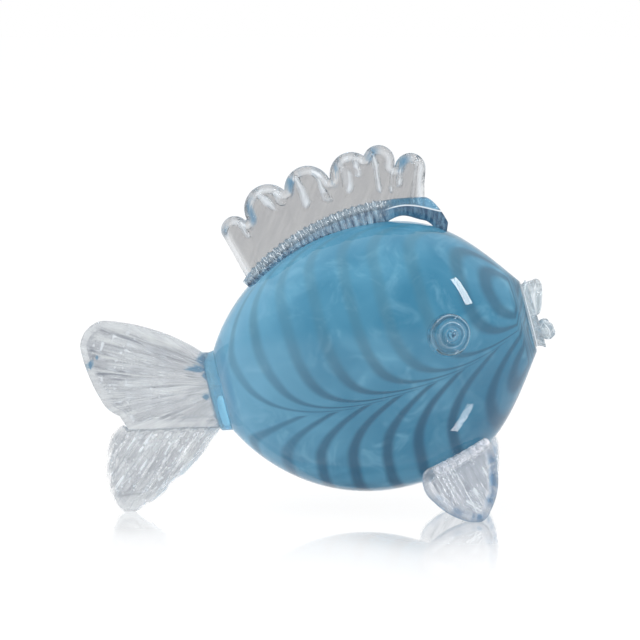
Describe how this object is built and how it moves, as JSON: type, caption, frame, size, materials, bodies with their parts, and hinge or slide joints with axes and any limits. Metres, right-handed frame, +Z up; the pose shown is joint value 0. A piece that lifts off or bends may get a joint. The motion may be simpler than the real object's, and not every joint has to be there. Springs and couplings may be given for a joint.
{
  "type": "fish figurine",
  "caption": "Blown art-glass fish with a cased blue body, a scalloped back fin and a fanned tail, standing on two pectoral fins and its tail tip.",
  "frame": {"origin": "centre of the bounding box in plan, on the floor the fish stands on", "axes": "+X towards the mouth, +Y towards the fish's left side, +Z up"},
  "size_m": [0.2558, 0.096, 0.1986],
  "materials": {
    "clear_glass": "clear, polished",
    "fin_glass": "clear with fine ribs, slightly grey",
    "blue_glass": "cased blue with combed darker trails",
    "eye_glass": "dark blue bead"
  },
  "bodies": {
    "root": {"body_casing": "clear_glass", "colour_layer": "blue_glass", "mouth_collar": "clear_glass", "upper_lip": "clear_glass", "lower_lip": "clear_glass", "dorsal_strip": "clear_glass", "dorsal_fin": "fin_glass", "tail_collar": "clear_glass", "tail_upper_lobe": "fin_glass", "tail_lower_lobe": "fin_glass", "pectoral_root_right": "clear_glass", "pectoral_root_left": "clear_glass", "pectoral_fin_right": "fin_glass", "pectoral_fin_left": "fin_glass", "eye_disc_right": "clear_glass", "eye_disc_left": "clear_glass", "eye_bead_right": "eye_glass", "eye_bead_left": "eye_glass"}
  },
  "joints": []
}
